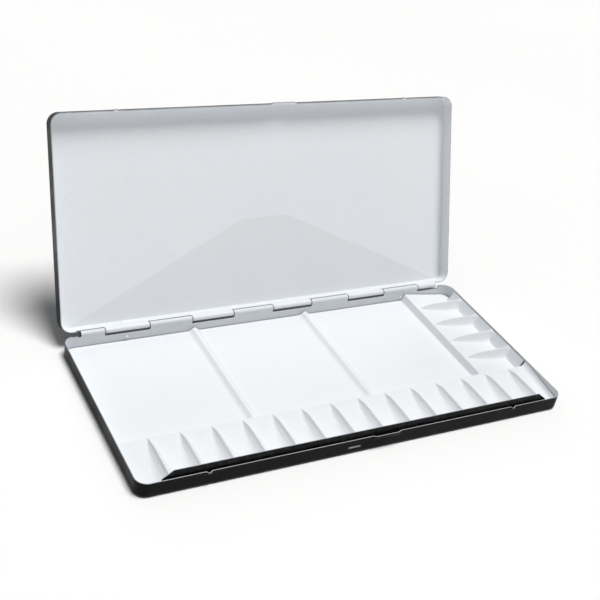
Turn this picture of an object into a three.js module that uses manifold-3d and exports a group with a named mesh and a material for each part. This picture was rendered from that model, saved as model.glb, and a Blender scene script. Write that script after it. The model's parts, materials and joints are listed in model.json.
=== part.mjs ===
// Folding watercolour palette box of enamelled sheet steel.
//
// A pressed base pan and a pressed lid pan share a rolled piano hinge on one steel wire. A pressed tray
// with mixing areas and paint wells lies in the base, and its front edge stands up as a tongue that
// guides the closing lid.
//
// Frame: millimetres, +X along the length, +Y towards the hinge, +Z up. The origin is the centre of the
// base's flat underside. The lid stands open.

import * as THREE from 'three';
import { mergeVertices } from 'three/addons/utils/BufferGeometryUtils.js';
import Module from 'manifold-3d';

// ---- Driving dimensions ----------------------------------------------------------------------------

const LENGTH = 245;             // outside length of base and lid
const WIDTH = 113.3;            // outside width of base and lid
const BASE_DEPTH = 8.3;         // base underside to base rim
const LID_DEPTH = 8;            // lid panel's outer face to lid rim
const CORNER_RADIUS = 6;        // plan radius of the pans' corners
const EDGE_RADIUS = 1.2;        // outside bend between a pan's panel and its walls
const SHELL_SHEET = 0.5;        // sheet of base and lid
const TRAY_SHEET = 0.4;         // sheet of the tray
const LID_OPEN_ANGLE = 111.5;   // degrees from closed at which the lid stands
const FULLY_OPEN_ANGLE = 180;   // degrees from closed at which the shells are modelled

const CLEARANCE = 0.3;          // between pieces that touch or turn on each other
const RIM_GAP = 0.3;            // between the two rims when closed

const WIRE_DIAMETER = 1.4;      // hinge wire
const KNUCKLE_PITCH = 24.8;     // along the hinge, one knuckle to the next
const KNUCKLE_GAP = 0.4;        // between neighbouring knuckles
const HINGE_INSET = 9.9;        // end of the pans to the end of the knuckles
const LEAST_KNUCKLE = 10;       // least length of the knuckle at each end
const END_RELIEF = 1.6;         // notch beyond the last knuckle at each end
const END_RELIEF_DEPTH = 0.7;   // depth of that notch beside a shell's own knuckle
const CURL_SWEEP = 280;         // degrees that the sheet is rolled round the wire

const WELL_LENGTH = 32;         // pan's inner wall to the crest behind the paint wells
const WELL_PITCH = 16.54;       // one well divider to the next
const FIRST_WELL = 16.4;        // left inner wall to the first divider of the front row
const FIRST_COLUMN_WELL = 15.4; // back inner wall to the first divider of the right column
const LEAST_WELL = 10;          // least width left for the last well of a row
const CREST_RISE = 4.1;         // crest behind the wells, above the mixing floor
const CREST_STEP = 1.6;         // run of the crest's steep face on the mixing side
const DIVIDER_BELOW_RIM = 0.9;  // divider tops, below the base rim
const DIVIDER_RUN = 12;         // length over which a divider rises from its tip
const DIVIDER_HALF_TOP = 0.7;   // half width of a divider's top
const DIVIDER_HALF_FOOT = 4.8;  // half width of the relief that holds a divider

const MIXING_PITCH = 69.15;     // mixing ridge to mixing ridge, and to the column's crest
const LEAST_MIXING = 50;        // least length left for the first mixing area
const RIDGE_HEIGHT = 2;         // mixing ridge above the mixing floor
const RIDGE_HALF_TOP = 0.8;
const RIDGE_HALF_FOOT = 2.7;

const TRAY_GAP = 0.8;           // pan's inner walls to the tray's edge
const TONGUE_GAP = 0.75;        // base's inner front wall to the tongue
const TONGUE_RISE = 4;          // tongue above the base rim
const TONGUE_INSET = 11.5;      // end of the pans to the end of the tongue
const TONGUE_CHAMFER = 5.7;     // run of the tongue's sloping ends
const FLANGE_BELOW_RIM = 0.6;   // right flange's edge, below the base rim
const FLANGE_LEAN = 2.2;        // run of the right flange's slope
const FLANGE_END_GAP = 7;       // back inner wall to the right flange's end

const TAB_FROM_CENTRE = -9.8;   // along X, the tab that holds the tray in the front wall's slot
const TAB_LENGTH = 6.8;
const TAB_THICKNESS = 0.45;
const TAB_HEIGHT = 3.9;         // above the base's underside

const LATCH_FROM_CENTRE = 8.5;  // along X, the finger bulge in both front rims
const LATCH = { halfRoot: 8.6, halfTop: 6.2, reach: 0.8, depth: 2.6 };
const SNAP_FROM_CENTRE = 88;    // along X, the small outward snaps in both front rims
const SNAP = { halfRoot: 2.8, halfTop: 0.5, reach: 0.7, depth: 2.2 };
const PIP_FROM_CENTRE = 87.5;   // along X, the round pips in both back walls
const PIP_BELOW_RIM = 5;
const PIP_RADIUS = 1.1;
const PIP_REACH = 0.6;

// ---- Sizes that follow -----------------------------------------------------------------------------

const INNER_HALF_X = LENGTH / 2 - SHELL_SHEET;
const INNER_HALF_Y = WIDTH / 2 - SHELL_SHEET;
const KNUCKLE_INNER = WIRE_DIAMETER / 2 + CLEARANCE;
const KNUCKLE_OUTER = KNUCKLE_INNER + SHELL_SHEET;
const KNUCKLE_REACH = KNUCKLE_OUTER + CLEARANCE;
const HINGE_HALF = LENGTH / 2 - HINGE_INSET;
const AXIS_Y = WIDTH / 2 + KNUCKLE_INNER;
const AXIS_Z = BASE_DEPTH + RIM_GAP / 2;

const TRAY_UNDERSIDE = SHELL_SHEET + CLEARANCE;
const FLOOR_TOP = TRAY_UNDERSIDE + TRAY_SHEET;
const CREST_TOP = FLOOR_TOP + CREST_RISE;
const DIVIDER_TOP = BASE_DEPTH - DIVIDER_BELOW_RIM;
const TRAY_HALF_X = INNER_HALF_X - TRAY_GAP;
const TRAY_BACK = INNER_HALF_Y - TRAY_GAP;
const TRAY_FRONT = -(INNER_HALF_Y - TONGUE_GAP);
const CREST_Y = -(INNER_HALF_Y - WELL_LENGTH);
const CREST_X = INNER_HALF_X - WELL_LENGTH;
const FLANGE_TOP = BASE_DEPTH - FLANGE_BELOW_RIM;
const FLANGE_FOOT_X = TRAY_HALF_X - TRAY_SHEET - FLANGE_LEAN;

const BELOW = -5;               // far enough under everything for cutting shapes
const ABOVE = 40;               // far enough over everything for cutting shapes
const ARC_SEGMENTS = 5;         // facets in a quarter of a plan corner
const CURL_SEGMENTS = 14;       // facets round a knuckle

const wasm = await Module();
wasm.setup();

// ---- Solids ----------------------------------------------------------------------------------------

function toSolid(geometry) {
  const bare = geometry.clone();
  bare.deleteAttribute('normal');
  bare.deleteAttribute('uv');
  const merged = mergeVertices(bare, 1e-4);
  const vertProperties = new Float32Array(merged.attributes.position.array);
  const triVerts = new Uint32Array(merged.index.array);
  return new wasm.Manifold(new wasm.Mesh({ numProp: 3, vertProperties, triVerts }));
}

function toGeometry(solid) {
  const mesh = solid.getMesh();
  const geometry = new THREE.BufferGeometry();
  geometry.setAttribute('position', new THREE.BufferAttribute(mesh.vertProperties, 3));
  geometry.setIndex(new THREE.BufferAttribute(mesh.triVerts, 1));
  geometry.computeVertexNormals();
  return geometry;
}

function joined(solids) {
  return solids.reduce((whole, solid) => whole.add(solid));
}

function block([x0, x1], [y0, y1], [z0, z1]) {
  const geometry = new THREE.BoxGeometry(x1 - x0, y1 - y0, z1 - z0);
  geometry.translate((x0 + x1) / 2, (y0 + y1) / 2, (z0 + z1) / 2);
  return toSolid(geometry);
}

function outline(points) {
  return new THREE.Shape(points.map(([a, b]) => new THREE.Vector2(a, b)));
}

function extruded(shape, depth, basis) {
  const options = { depth, bevelEnabled: false, curveSegments: ARC_SEGMENTS };
  const geometry = new THREE.ExtrudeGeometry(shape, options);
  geometry.applyMatrix4(new THREE.Matrix4().makeBasis(...basis));
  return geometry;
}

const X = new THREE.Vector3(1, 0, 0);
const Y = new THREE.Vector3(0, 1, 0);
const Z = new THREE.Vector3(0, 0, 1);

// A section drawn in (y, z), carried along X from x0 to x1.
function alongX(shape, x0, x1) {
  const geometry = extruded(shape, x1 - x0, [Y, Z, X]);
  geometry.translate(x0, 0, 0);
  return toSolid(geometry);
}

// A section drawn in (x, z), carried along Y from y0 to y1.
function alongY(shape, y0, y1) {
  const geometry = extruded(shape, y1 - y0, [X, Z, Y.clone().negate()]);
  geometry.translate(0, y1, 0);
  return toSolid(geometry);
}

// An outline drawn in (x, y), carried up Z from z0 to z1.
function alongZ(shape, z0, z1) {
  const geometry = extruded(shape, z1 - z0, [X, Y, Z]);
  geometry.translate(0, 0, z0);
  return toSolid(geometry);
}

// A rectangle with round corners, from (x0, y0) to (x1, y1).
function roundedRectangle([x0, x1], [y0, y1], radius) {
  const shape = new THREE.Shape();
  shape.absarc(x1 - radius, y0 + radius, radius, -Math.PI / 2, 0);
  shape.absarc(x1 - radius, y1 - radius, radius, 0, Math.PI / 2);
  shape.absarc(x0 + radius, y1 - radius, radius, Math.PI / 2, Math.PI);
  shape.absarc(x0 + radius, y0 + radius, radius, Math.PI, Math.PI * 1.5);
  shape.closePath();
  return shape;
}

// ---- Pressed shells, in pan coordinates: underside at z = 0, hinge wall towards +Y ------------------

// A block of the pan's plan shape, inset all round, with a rounded lower edge and an open-ended top.
function panBlock(inset, bottom, top) {
  const shape = roundedRectangle(
    [-LENGTH / 2 + inset, LENGTH / 2 - inset],
    [-WIDTH / 2 + inset, WIDTH / 2 - inset],
    CORNER_RADIUS - inset,
  );
  const bend = EDGE_RADIUS - inset;
  const geometry = new THREE.ExtrudeGeometry(shape, {
    depth: top - bottom,
    bevelThickness: bend,
    bevelSize: bend,
    bevelOffset: -bend,
    bevelSegments: 3,
    curveSegments: ARC_SEGMENTS,
  });
  geometry.translate(0, 0, bottom + bend);
  return toSolid(geometry);
}

function pan(depth) {
  const room = block([-LENGTH, LENGTH], [-WIDTH, WIDTH], [BELOW, depth]);
  const outer = panBlock(0, 0, depth).intersect(room);
  return outer.subtract(panBlock(SHELL_SHEET, SHELL_SHEET, depth));
}

// Where one knuckle ends and the next begins, from the left end of the hinge to the right.
function knuckleEdges() {
  const reach = Math.floor((HINGE_HALF - LEAST_KNUCKLE) / KNUCKLE_PITCH);
  const edges = [-HINGE_HALF];
  for (let step = -reach; step <= reach; step += 1) edges.push(step * KNUCKLE_PITCH);
  edges.push(HINGE_HALF);
  return edges;
}

// The knuckle spans of one shell: every second place along the hinge, counted from `first`.
function knuckleSpans(first) {
  const edges = knuckleEdges();
  const spans = [];
  for (let place = first; place < edges.length - 1; place += 2) {
    spans.push([edges[place], edges[place + 1]]);
  }
  return spans;
}

// The rolled edge: up from the wall, over the wire and back underneath, round the hinge axis.
function curlSection(axisHeight) {
  const end = Math.PI - THREE.MathUtils.degToRad(CURL_SWEEP);
  const shape = new THREE.Shape();
  shape.moveTo(AXIS_Y - KNUCKLE_INNER, axisHeight - KNUCKLE_REACH - CLEARANCE);
  shape.lineTo(AXIS_Y - KNUCKLE_INNER, axisHeight);
  shape.absarc(AXIS_Y, axisHeight, KNUCKLE_INNER, Math.PI, end, true);
  shape.absarc(AXIS_Y, axisHeight, KNUCKLE_OUTER, end, Math.PI, false);
  shape.lineTo(AXIS_Y - KNUCKLE_OUTER, axisHeight - KNUCKLE_REACH - CLEARANCE);
  shape.closePath();
  return outline(shape.getPoints(CURL_SEGMENTS).map((point) => [point.x, point.y]));
}

function knuckles(axisHeight) {
  const section = curlSection(axisHeight);
  const half = KNUCKLE_GAP / 2;
  return joined(knuckleSpans(0).map(([x0, x1]) => alongX(section, x0 + half, x1 - half)));
}

// Room in the hinge wall for the other shell's knuckles, and the relief beyond both ends.
function hingeNotches(depth, axisHeight) {
  const wall = [INNER_HALF_Y - CLEARANCE, WIDTH / 2 + CLEARANCE];
  const half = KNUCKLE_GAP / 2;
  const rooms = knuckleSpans(1).map(([x0, x1]) => {
    const last = x1 === HINGE_HALF ? END_RELIEF : half;
    return block([x0 - half, x1 + last], wall, [axisHeight - KNUCKLE_REACH, ABOVE]);
  });
  const relief = [-HINGE_HALF - END_RELIEF, -HINGE_HALF + half];
  rooms.push(block(relief, wall, [depth - END_RELIEF_DEPTH, ABOVE]));
  return joined(rooms);
}

// An outward bulge pressed into the top of the front wall: its skin, and the hollow behind it.
function bulge(middle, { halfRoot, halfTop, reach, depth: height }, rim) {
  const front = -WIDTH / 2;
  const plan = (inset) => outline([
    [middle - halfRoot + inset, front + inset * 1.2],
    [middle - halfTop + inset / 2, front - reach + inset],
    [middle + halfTop - inset / 2, front - reach + inset],
    [middle + halfRoot - inset, front + inset * 1.2],
  ]);
  const skin = alongZ(plan(0), rim - height, rim);
  const hollow = alongZ(plan(SHELL_SHEET), rim - height + SHELL_SHEET, rim + CLEARANCE);
  return { skin, hollow };
}

// A round pip pressed inwards in the hinge wall.
function pip(x, rim) {
  const geometry = new THREE.SphereGeometry(PIP_RADIUS, 10, 8);
  geometry.scale(1, PIP_REACH / PIP_RADIUS, 1);
  geometry.translate(x, INNER_HALF_Y, rim - PIP_BELOW_RIM);
  const room = block([-LENGTH, LENGTH], [0, INNER_HALF_Y + SHELL_SHEET / 2], [BELOW, ABOVE]);
  return toSolid(geometry).intersect(room);
}

// One pressed shell, whose latch bulge lies at latchX.
function shell(depth, latchX) {
  const axisHeight = depth + RIM_GAP / 2;
  const bulges = [
    bulge(latchX, LATCH, depth),
    bulge(-SNAP_FROM_CENTRE, SNAP, depth),
    bulge(SNAP_FROM_CENTRE, SNAP, depth),
  ];
  let solid = pan(depth).subtract(hingeNotches(depth, axisHeight)).add(knuckles(axisHeight));
  solid = solid.add(joined(bulges.map(({ skin }) => skin)));
  solid = solid.subtract(joined(bulges.map(({ hollow }) => hollow)));
  return solid.add(pip(-PIP_FROM_CENTRE, depth)).add(pip(PIP_FROM_CENTRE, depth));
}

// The slot in the base's front wall that holds the tray's tab.
function tabSlot() {
  const half = TAB_THICKNESS / 2 + CLEARANCE;
  const reach = TAB_LENGTH / 2 + CLEARANCE;
  const slot = roundedRectangle(
    [TAB_FROM_CENTRE - reach, TAB_FROM_CENTRE + reach],
    [TAB_HEIGHT - half, TAB_HEIGHT + half],
    half * 0.98,
  );
  return alongY(slot, -WIDTH / 2 - CLEARANCE, -INNER_HALF_Y + CLEARANCE);
}

// ---- Tray ------------------------------------------------------------------------------------------

// Places of the well dividers: X of the front row's, Y of the right column's.
function dividerXs() {
  const places = [];
  for (let x = -INNER_HALF_X + FIRST_WELL; x < INNER_HALF_X - LEAST_WELL; x += WELL_PITCH) places.push(x);
  return places;
}

function dividerYs() {
  const places = [];
  for (let y = INNER_HALF_Y - FIRST_COLUMN_WELL; y > CREST_Y + LEAST_WELL; y -= WELL_PITCH) places.push(y);
  return places;
}

function ridgeXs() {
  const places = [];
  for (let x = CREST_X - MIXING_PITCH; x > -INNER_HALF_X + LEAST_MIXING; x -= MIXING_PITCH) places.push(x);
  return places;
}

// How far a divider's flank has fallen at this distance from its middle: level on top, steep beside
// it, easing into the floor. The half width grows as top + 0.3 h + 0.05 h^2 with the fall h.
function flankFall(distance) {
  const beyond = Math.max(0, distance - DIVIDER_HALF_TOP);
  return (Math.sqrt(0.09 + 0.2 * beyond) - 0.3) / 0.1;
}

// Height of a divider at `run` from the crest and `aside` from its middle, sunk by `inset`.
function dividerHeight(run, aside, inset) {
  const risen = Math.sin(Math.min(1, Math.max(0, run / DIVIDER_RUN)) * Math.PI / 2);
  const top = CREST_TOP + (DIVIDER_TOP - CREST_TOP) * risen;
  return top - inset - flankFall(Math.abs(aside) + inset);
}

// A divider from its tip to its far end, along +X with its middle at y = 0 and z absolute. It is a
// block whose top face carries the height above.
function dividerRelief(length, inset, acrossSteps, alongSteps) {
  const geometry = new THREE.BoxGeometry(1, 2, 1, alongSteps, acrossSteps, 1);
  const position = geometry.attributes.position;
  for (let i = 0; i < position.count; i += 1) {
    const share = position.getX(i) + 0.5;
    const side = position.getY(i);
    const run = length * share ** 1.25;
    const aside = DIVIDER_HALF_FOOT * side * Math.abs(side) ** 0.6;
    const height = position.getZ(i) > 0 ? dividerHeight(run, aside, inset) : BELOW - inset;
    position.setXYZ(i, run, aside, height);
  }
  return geometry;
}

function dividers(inset, acrossSteps, alongSteps) {
  const frontLength = CREST_Y - TRAY_FRONT - TRAY_SHEET / 2 + inset;
  const columnLength = FLANGE_FOOT_X + FLANGE_LEAN * 0.8 - CREST_X;
  const solids = dividerXs().map((x) => {
    const geometry = dividerRelief(frontLength, inset, acrossSteps, alongSteps);
    geometry.rotateZ(-Math.PI / 2);
    geometry.translate(x, CREST_Y, 0);
    return toSolid(geometry);
  });
  dividerYs().forEach((y) => {
    const geometry = dividerRelief(columnLength, inset, acrossSteps, alongSteps);
    geometry.translate(CREST_X, y, 0);
    solids.push(toSolid(geometry));
  });
  return joined(solids);
}

// Everything below the tray's upper face, or with an inset everything below its lower face.
function trayRelief(inset) {
  const bottom = BELOW - inset;
  const over = inset * 10;
  const sideways = TRAY_HALF_X + over;
  const endways = [TRAY_FRONT - over, TRAY_BACK + over];
  const floor = block([-sideways, sideways], endways, [bottom, FLOOR_TOP - inset]);
  const crest = CREST_TOP - inset * 1.15;
  const frontWedge = alongX(outline([
    [TRAY_FRONT - over, bottom],
    [CREST_Y + CREST_STEP - inset, bottom],
    [CREST_Y + CREST_STEP - inset, FLOOR_TOP - inset],
    [CREST_Y - inset, crest],
    [TRAY_FRONT, FLOOR_TOP - inset],
    [TRAY_FRONT - over, FLOOR_TOP - inset],
  ]), -sideways, sideways);
  const columnWedge = alongY(outline([
    [CREST_X - CREST_STEP + inset, bottom],
    [sideways, bottom],
    [sideways, FLOOR_TOP - inset],
    [FLANGE_FOOT_X, FLOOR_TOP - inset],
    [CREST_X + inset, crest],
    [CREST_X - CREST_STEP + inset, FLOOR_TOP - inset],
  ]), CREST_Y - inset, TRAY_BACK + over);
  const ridgeTop = FLOOR_TOP + RIDGE_HEIGHT - inset;
  const ridges = ridgeXs().map((x) => alongY(outline([
    [x - RIDGE_HALF_FOOT + inset, bottom],
    [x + RIDGE_HALF_FOOT - inset, bottom],
    [x + RIDGE_HALF_FOOT - inset, FLOOR_TOP - inset],
    [x + RIDGE_HALF_TOP - inset / 2, ridgeTop],
    [x - RIDGE_HALF_TOP + inset / 2, ridgeTop],
    [x - RIDGE_HALF_FOOT + inset, FLOOR_TOP - inset],
  ]), CREST_Y - inset, TRAY_BACK + over));
  return joined([floor, frontWedge, columnWedge, ...ridges]);
}

// The tray's front edge, bent up inside the base's front wall, with sloping ends.
function tongue() {
  const half = LENGTH / 2 - TONGUE_INSET;
  const top = BASE_DEPTH + TONGUE_RISE;
  const plate = outline([
    [-half, TRAY_UNDERSIDE],
    [half, TRAY_UNDERSIDE],
    [half, BASE_DEPTH - CLEARANCE],
    [half - TONGUE_CHAMFER, top],
    [-half + TONGUE_CHAMFER, top],
    [-half, BASE_DEPTH - CLEARANCE],
  ]);
  return alongY(plate, TRAY_FRONT, TRAY_FRONT + TRAY_SHEET);
}

// The tray's right edge, bent up beside the column of wells and leaning outwards.
function rightFlange() {
  const lean = FLANGE_LEAN;
  const plate = outline([
    [FLANGE_FOOT_X, TRAY_UNDERSIDE],
    [FLANGE_FOOT_X + TRAY_SHEET, TRAY_UNDERSIDE],
    [FLANGE_FOOT_X + lean + TRAY_SHEET, FLANGE_TOP],
    [FLANGE_FOOT_X + lean, FLANGE_TOP],
  ]);
  return alongY(plate, CREST_Y + CREST_STEP, INNER_HALF_Y - FLANGE_END_GAP);
}

// The tab that passes through the slot in the base's front wall.
function tab() {
  const half = TAB_LENGTH / 2;
  return block(
    [TAB_FROM_CENTRE - half, TAB_FROM_CENTRE + half],
    [-WIDTH / 2, TRAY_FRONT + TRAY_SHEET / 2],
    [TAB_HEIGHT - TAB_THICKNESS / 2, TAB_HEIGHT + TAB_THICKNESS / 2],
  );
}

function tray() {
  const plan = roundedRectangle(
    [-TRAY_HALF_X, TRAY_HALF_X],
    [TRAY_FRONT, TRAY_BACK],
    CORNER_RADIUS - SHELL_SHEET - CLEARANCE * 2,
  );
  const upper = trayRelief(0).add(dividers(0, 8, 7)).intersect(alongZ(plan, BELOW, ABOVE));
  const lower = trayRelief(TRAY_SHEET).add(dividers(TRAY_SHEET, 4, 4));
  return upper.subtract(lower).add(tongue()).add(rightFlange()).add(tab());
}

// ---- Materials -------------------------------------------------------------------------------------

const blackEnamel = new THREE.MeshStandardMaterial({ color: 0x17181a, roughness: 0.45, metalness: 0 });
const whiteEnamel = new THREE.MeshStandardMaterial({ color: 0xf1f3f5, roughness: 0.3, metalness: 0 });
const steelWire = new THREE.MeshStandardMaterial({ color: 0xb4b6b8, roughness: 0.35, metalness: 1 });

function piece(name, geometry, material) {
  const mesh = new THREE.Mesh(geometry, material);
  mesh.name = name;
  return mesh;
}

// ---- Assembly --------------------------------------------------------------------------------------

const palette = new THREE.Group();

const baseSolid = shell(BASE_DEPTH, LATCH_FROM_CENTRE).subtract(tabSlot());
palette.add(piece('base_shell', toGeometry(baseSolid), blackEnamel));
palette.add(piece('well_tray', toGeometry(tray()), whiteEnamel));

// The lid is the same pressing as the base, turned about the hinge's middle. In its own group it lies
// flat open; the group swings it up to where it stands.
const lidGeometry = toGeometry(shell(LID_DEPTH, -LATCH_FROM_CENTRE));
lidGeometry.translate(0, -AXIS_Y, -LID_DEPTH - RIM_GAP / 2);
lidGeometry.rotateZ(Math.PI);

const hinge = new THREE.Group();
hinge.position.set(0, AXIS_Y, AXIS_Z);

const wireLength = 2 * HINGE_HALF - KNUCKLE_GAP;
const wireRadius = WIRE_DIAMETER / 2;
const wireGeometry = new THREE.CylinderGeometry(wireRadius, wireRadius, wireLength, 16);
const wire = piece('hinge_wire', wireGeometry, steelWire);
wire.rotation.z = Math.PI / 2;
hinge.add(wire);

const lidSwing = new THREE.Group();
lidSwing.rotation.x = THREE.MathUtils.degToRad(FULLY_OPEN_ANGLE - LID_OPEN_ANGLE);
lidSwing.add(piece('lid_shell', lidGeometry, blackEnamel));
hinge.add(lidSwing);
palette.add(hinge);

export default palette;
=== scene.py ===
"""Looks of a folding watercolour palette box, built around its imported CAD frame.

The box is three enamelled sheet-steel pressings on one hinge wire: a base pan, a lid pan and a
tray with mixing areas and paint wells. Each pressing is one surface worked out with numpy on a
grid, which then gets its sheet thickness: black enamel on one face, white enamel on the other.

Lengths in the size fields are millimetres, as in the CAD; meshes are made in metres.
"""

import json
import logging
import math
from dataclasses import dataclass, field
from enum import Enum

import bpy
import numpy as np
from mathutils import Matrix, Vector


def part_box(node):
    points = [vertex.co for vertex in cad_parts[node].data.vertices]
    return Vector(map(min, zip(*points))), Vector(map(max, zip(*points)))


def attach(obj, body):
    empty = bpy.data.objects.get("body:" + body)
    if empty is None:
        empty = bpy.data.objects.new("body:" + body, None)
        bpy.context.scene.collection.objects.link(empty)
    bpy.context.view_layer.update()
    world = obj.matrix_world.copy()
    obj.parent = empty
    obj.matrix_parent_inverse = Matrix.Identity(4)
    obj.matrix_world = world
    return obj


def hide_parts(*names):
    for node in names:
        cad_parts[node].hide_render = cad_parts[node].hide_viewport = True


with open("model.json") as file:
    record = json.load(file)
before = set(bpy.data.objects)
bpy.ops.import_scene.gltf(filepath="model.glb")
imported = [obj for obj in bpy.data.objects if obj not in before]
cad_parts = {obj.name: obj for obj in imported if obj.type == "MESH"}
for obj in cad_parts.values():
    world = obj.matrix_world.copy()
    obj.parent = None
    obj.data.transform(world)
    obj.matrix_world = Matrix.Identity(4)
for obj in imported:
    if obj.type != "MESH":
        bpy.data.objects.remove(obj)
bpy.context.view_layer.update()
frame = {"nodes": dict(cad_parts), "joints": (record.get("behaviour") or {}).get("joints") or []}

MM = 0.001
LOG = logging.getLogger("palette")


class Body(Enum):
    """The two bodies that the hinge joins."""

    BASE = "base"
    LID = "lid"


class Slot(Enum):
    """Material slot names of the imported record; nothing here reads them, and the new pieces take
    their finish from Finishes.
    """

    BLACK = "black_enamel"
    WHITE = "white_enamel"


class Face(Enum):
    """Material places on a pressing: its outer face, its inner face and its cut edge.

    The hinge side has its own three, for the enamel of its strip and the edges of its knuckles.
    """

    OUTER = 0
    INNER = 1
    EDGE = 2
    HINGE_OUTER = 3


# ---- Finishes ------------------------------------------------------------------------------------


class NodeBench:
    """Adds shader nodes to one new material and joins them."""

    def __init__(self, name: str) -> None:
        """Starts a material that has a Principled shader and its output.

        Args:
            name: name of the material.
        """
        self.material = bpy.data.materials.new(name)
        self.material.use_nodes = True
        self.tree = self.material.node_tree
        self.shader = next(n for n in self.tree.nodes if n.type == "BSDF_PRINCIPLED")
        self.place = self.add("ShaderNodeTexCoord").outputs["Object"]

    def add(self, kind: str, **settings: object) -> bpy.types.Node:
        """Adds a node.

        Args:
            kind: the node's type name.
            settings: properties of the node, by name.

        Returns:
            The new node.
        """
        node = self.tree.nodes.new(kind)
        for name, value in settings.items():
            setattr(node, name, value)
        return node

    def join(self, source: bpy.types.NodeSocket, target: bpy.types.NodeSocket) -> None:
        """Joins an output to an input."""
        self.tree.links.new(source, target)

    def noise(
        self, scale: float, detail: float = 2.0, stretch: tuple[float, float, float] = (1, 1, 1)
    ) -> bpy.types.NodeSocket:
        """Adds solid noise over the piece's own coordinates.

        Args:
            scale: lumps per metre.
            detail: number of finer layers.
            stretch: factor on each axis before the noise is read.

        Returns:
            The noise value, about 0.5 on average.
        """
        mapping = self.add("ShaderNodeMapping")
        mapping.inputs["Scale"].default_value = stretch
        self.join(self.place, mapping.inputs["Vector"])
        node = self.add("ShaderNodeTexNoise")
        node.inputs["Scale"].default_value = scale
        node.inputs["Detail"].default_value = detail
        self.join(mapping.outputs["Vector"], node.inputs["Vector"])
        return node.outputs["Fac"]

    def ranged(
        self, source: bpy.types.NodeSocket, low: float, high: float, to_low: float, to_high: float
    ) -> bpy.types.NodeSocket:
        """Carries a value from one range to another, clamped.

        Args:
            source: the value.
            low: value that becomes to_low.
            high: value that becomes to_high.
            to_low: lowest result.
            to_high: highest result.

        Returns:
            The new value.
        """
        node = self.add("ShaderNodeMapRange")
        self.join(source, node.inputs["Value"])
        for name, value in zip(
            ("From Min", "From Max", "To Min", "To Max"), (low, high, to_low, to_high)
        ):
            node.inputs[name].default_value = value
        return node.outputs["Result"]

    def product(
        self, first: bpy.types.NodeSocket, second: bpy.types.NodeSocket
    ) -> bpy.types.NodeSocket:
        """Multiplies two values and returns the product."""
        node = self.add("ShaderNodeMath", operation="MULTIPLY")
        self.join(first, node.inputs[0])
        self.join(second, node.inputs[1])
        return node.outputs["Value"]

    def blend(
        self,
        share: bpy.types.NodeSocket,
        first: bpy.types.NodeSocket | tuple[float, float, float],
        second: tuple[float, float, float],
    ) -> bpy.types.NodeSocket:
        """Mixes two colours.

        Args:
            share: 0 for the first colour, 1 for the second.
            first: a colour, or the output that gives it.
            second: a colour.

        Returns:
            The mixed colour.
        """
        node = self.add("ShaderNodeMix", data_type="RGBA")
        self.join(share, node.inputs["Factor"])
        if isinstance(first, tuple):
            node.inputs[6].default_value = (*first, 1)
        else:
            self.join(first, node.inputs[6])
        node.inputs[7].default_value = (*second, 1)
        return node.outputs[2]

    def rubbed(self) -> bpy.types.NodeSocket:
        """Returns the piece's own "rub" value, highest where hands and table wear the enamel."""
        return self.add("ShaderNodeAttribute", attribute_name="rub").outputs["Fac"]

    def relief(self, *layers: tuple[bpy.types.NodeSocket, float]) -> None:
        """Gives the shader a bumped normal.

        Args:
            layers: pairs of a height value and the height in metres that 1 stands for.
        """
        normal = None
        for height, depth in layers:
            bump = self.add("ShaderNodeBump")
            bump.inputs["Strength"].default_value = 1.0
            bump.inputs["Distance"].default_value = depth
            self.join(height, bump.inputs["Height"])
            if normal is not None:
                self.join(normal, bump.inputs["Normal"])
            normal = bump.outputs["Normal"]
        self.join(normal, self.shader.inputs["Normal"])


@dataclass(frozen=True)
class Enamel:
    """Stoved enamel on sheet steel: orange peel, speckle, soft clouding, scuffs, worn edges."""

    name: str
    colour: tuple[float, float, float]
    clouded: tuple[float, float, float]
    speck: tuple[float, float, float]
    worn: tuple[float, float, float]
    roughness: tuple[float, float]
    specular: float
    speck_share: float = 0.5
    wear: float = 0.6
    scuff: float = 0.04
    peel_scale: float = 900.0
    peel_depth: float = 0.000008
    grain_scale: float = 1500.0
    cloud_scale: float = 14.0
    patch_scale: float = 420.0
    scuff_scale: float = 22.0
    scuff_stretch: tuple[float, float, float] = (1, 14, 14)
    gloss_scale: float = 60.0
    swell_scale: float = 26.0
    swell_share: float = 5

    def build(self) -> bpy.types.Material:
        """Makes the material.

        Returns:
            The new material.
        """
        bench = NodeBench(self.name)
        cloud = bench.ranged(bench.noise(self.cloud_scale, 3), 0.35, 0.7, 0, 1)
        grain = bench.noise(self.grain_scale, 1)
        specks = bench.ranged(grain, 0.56, 0.7, 0, self.speck_share)
        patches = bench.ranged(bench.noise(self.patch_scale, 4), 0.42, 0.66, 0, self.wear)
        worn = bench.product(bench.rubbed(), patches)
        colour = bench.blend(cloud, self.colour, self.clouded)
        colour = bench.blend(specks, colour, self.speck)
        colour = bench.blend(worn, colour, self.worn)
        streaks = bench.noise(self.scuff_scale, 6, self.scuff_stretch)
        scuffs = bench.ranged(streaks, 0.64, 0.70, 0, self.scuff)
        colour = bench.blend(scuffs, colour, self.worn)
        bench.join(colour, bench.shader.inputs["Base Color"])
        rough = bench.ranged(bench.noise(self.gloss_scale, 4), 0.3, 0.7, *self.roughness)
        bench.join(rough, bench.shader.inputs["Roughness"])
        bench.shader.inputs["Specular IOR Level"].default_value = self.specular
        bench.relief(
            (bench.noise(self.peel_scale, 1), self.peel_depth),
            (bench.noise(self.swell_scale, 1), self.peel_depth * self.swell_share),
        )
        return bench.material


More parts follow.
